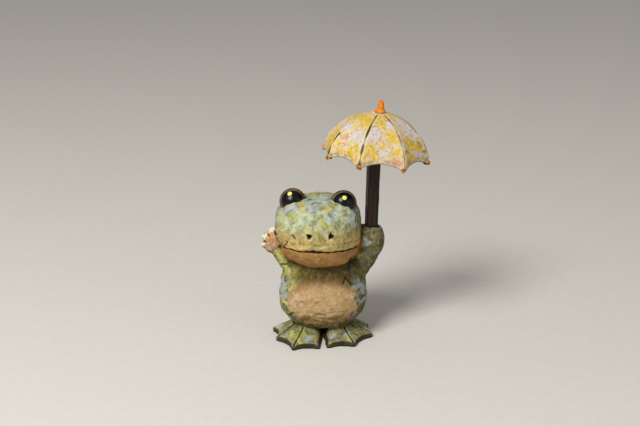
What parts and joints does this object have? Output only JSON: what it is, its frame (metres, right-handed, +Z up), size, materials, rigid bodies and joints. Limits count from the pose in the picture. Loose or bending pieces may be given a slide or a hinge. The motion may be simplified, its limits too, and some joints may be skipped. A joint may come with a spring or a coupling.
{
  "type": "carved wooden frog figurine with parasol",
  "caption": "Hand-carved, painted wooden frog that stands on webbed feet, waves one hand and holds up a scalloped parasol.",
  "frame": {"origin": "on the table, at the middle of the joined soles", "axes": "+Z up, the frog faces -Y, +X towards the hand that holds the parasol"},
  "size_m": [0.0788, 0.0498, 0.1141],
  "materials": {
    "painted_frog": "mottled matt paint over carved wood",
    "dark_stick": "dark stain, satin",
    "painted_canopy": "mottled matt paint over carved wood",
    "orange_finial": "matt paint"
  },
  "bodies": {
    "root": {"frog_figure": "painted_frog", "umbrella_stick": "dark_stick", "umbrella_canopy": "painted_canopy", "umbrella_finial": "orange_finial"}
  },
  "joints": []
}
